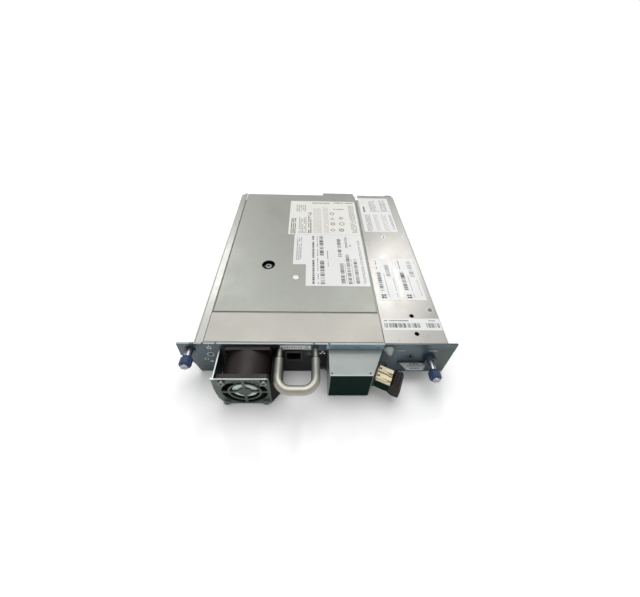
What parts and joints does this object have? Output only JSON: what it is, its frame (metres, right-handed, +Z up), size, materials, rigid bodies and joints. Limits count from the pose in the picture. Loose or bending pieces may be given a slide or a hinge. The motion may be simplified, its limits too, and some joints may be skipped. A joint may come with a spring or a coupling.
{
  "type": "data tape drive",
  "caption": "Half-height data tape drive in a hot-swap library sled with rear fan, handle, captive thumbscrews and ports, and a working tape mechanism inside.",
  "frame": {"origin": "centre of the whole part on its underside", "axes": "+X right and +Y away from the user who faces the rear panel, +Z up"},
  "size_m": [0.2334, 0.2852, 0.0426],
  "materials": {
    "zinc_sheet": "satin",
    "grey_cover": "satin",
    "bay_metal": "satin",
    "panel_grey": "gloss",
    "cast_metal": "satin",
    "steel": "satin",
    "handle_metal": "satin",
    "hood_metal": "satin",
    "guard_metal": "satin",
    "black_plastic": "matte",
    "fan_plastic": "satin",
    "blade_plastic": "gloss",
    "blue_plastic": "satin",
    "beige_plastic": "satin",
    "clear_plastic": "gloss",
    "white_plastic": "satin",
    "board_green": "satin",
    "gear_plastic": "satin"
  },
  "bodies": {
    "chassis": {"sled_tray": "zinc_sheet", "rear_panel": "panel_grey", "front_cover": "bay_metal", "bay_cover": "bay_metal", "bay_partition": "zinc_sheet", "bay_shelf": "zinc_sheet", "guide_rail": "black_plastic", "cover_screws": "steel", "fan_duct": "black_plastic", "base_screws": "steel", "indicator_lenses": "clear_plastic", "drive_base": "cast_metal", "drive_cover": "grey_cover", "cover_rivet": "white_plastic", "mouth_frame": "black_plastic", "loader_motor": "steel", "supply_motor": "cast_metal", "takeup_motor": "cast_metal", "roller_pins": "steel", "head_actuator": "steel", "threader_post": "steel", "drive_board": "board_green", "drive_chips": "black_plastic", "controller_board": "board_green", "board_standoffs": "steel", "board_components": "black_plastic", "power_converter": "cast_metal", "docking_connector": "black_plastic", "fan_housing": "fan_plastic", "fan_stator": "fan_plastic", "fan_guard": "guard_metal", "fan_screws": "steel", "handle": "handle_metal", "handle_nuts": "steel", "interface_hood": "hood_metal", "optical_port": "black_plastic", "port_cap": "clear_plastic", "ethernet_jack": "black_plastic", "collar_left": "steel", "collar_right": "black_plastic"},
    "fan": {"fan_rotor": "blade_plastic"},
    "left_retainer": {"retainer_left": "steel"},
    "left_screw": {"stud_left": "steel", "knob_left": "blue_plastic"},
    "right_retainer": {"retainer_right": "steel"},
    "right_screw": {"stud_right": "steel", "knob_right": "blue_plastic"},
    "plug": {"plug_body": "beige_plastic", "plug_shell": "black_plastic"},
    "door": {"mouth_door": "black_plastic"},
    "carriage": {"loader_carriage": "steel"},
    "gear": {"loader_gear": "gear_plastic"},
    "supply": {"supply_hub": "steel"},
    "takeup": {"takeup_reel": "gear_plastic"},
    "head": {"head_block": "cast_metal"},
    "threader": {"threader_arm": "steel"},
    "roller_1": {"guide_roller_1": "steel"},
    "roller_2": {"guide_roller_2": "steel"},
    "roller_3": {"guide_roller_3": "steel"},
    "roller_4": {"guide_roller_4": "steel"}
  },
  "joints": [
    {"name": "fan_spin", "type": "hinge", "parent": "chassis", "child": "fan", "pos_m": [-0.059, -0.1178, 0.0202], "axis": [0, 1, 0], "continuous": true},
    {"name": "left_screw_travel", "type": "slide", "parent": "chassis", "child": "left_retainer", "axis": [0, -1, 0], "range_m": [-0.0055, 0.0003]},
    {"name": "left_screw_turn", "type": "hinge", "parent": "left_retainer", "child": "left_screw", "pos_m": [-0.1073, -0.1038, 0.034], "axis": [0, 1, 0], "continuous": true},
    {"name": "right_screw_travel", "type": "slide", "parent": "chassis", "child": "right_retainer", "axis": [0, -1, 0], "range_m": [-0.006, 0.001]},
    {"name": "right_screw_turn", "type": "hinge", "parent": "right_retainer", "child": "right_screw", "pos_m": [0.097, -0.1038, 0.0227], "axis": [0, 1, 0], "continuous": true},
    {"name": "plug_pull", "type": "slide", "parent": "chassis", "child": "plug", "axis": [0.9021, -0.4315, 0], "range_m": [0, 0.014]},
    {"name": "door_swing", "type": "hinge", "parent": "chassis", "child": "door", "pos_m": [-0.0205, 0.1259, 0.0368], "axis": [1, 0, 0], "range_deg": [-86, 0], "stiffness_Nm_per_rad": 0.003, "springref_deg": 28.65},
    {"name": "carriage_travel", "type": "slide", "parent": "chassis", "child": "carriage", "axis": [0, -1, 0], "range_m": [0, 0.013]},
    {"name": "loader_gear_turn", "type": "hinge", "parent": "chassis", "child": "gear", "pos_m": [0.043, 0.06254, 0.016], "axis": [0, 0, 1], "range_deg": [0, 105.04]},
    {"name": "supply_spin", "type": "hinge", "parent": "chassis", "child": "supply", "pos_m": [-0.0205, 0.0852, 0.006], "axis": [0, 0, 1], "continuous": true},
    {"name": "takeup_spin", "type": "hinge", "parent": "chassis", "child": "takeup", "pos_m": [-0.0517, -0.008, 0.02], "axis": [0, 0, 1], "continuous": true},
    {"name": "head_shift", "type": "slide", "parent": "chassis", "child": "head", "axis": [0, 0, 1], "range_m": [0, 0.007]},
    {"name": "threader_swing", "type": "hinge", "parent": "chassis", "child": "threader", "pos_m": [-0.0039, -0.0032, 0.035], "axis": [0, 0, 1], "range_deg": [-158, 0]},
    {"name": "roller_1_spin", "type": "hinge", "parent": "chassis", "child": "roller_1", "pos_m": [0.02053, 0.02591, 0.02], "axis": [0, 0, 1], "continuous": true},
    {"name": "roller_2_spin", "type": "hinge", "parent": "chassis", "child": "roller_2", "pos_m": [0.03181, 0.0098, 0.02], "axis": [0, 0, 1], "continuous": true},
    {"name": "roller_3_spin", "type": "hinge", "parent": "chassis", "child": "roller_3", "pos_m": [0.03181, -0.0162, 0.02], "axis": [0, 0, 1], "continuous": true},
    {"name": "roller_4_spin", "type": "hinge", "parent": "chassis", "child": "roller_4", "pos_m": [0.02053, -0.03231, 0.02], "axis": [0, 0, 1], "continuous": true}
  ],
  "couplings": [
    {"joint": "loader_gear_turn", "follows": "carriage_travel", "rad_per_m": 138.89}
  ]
}
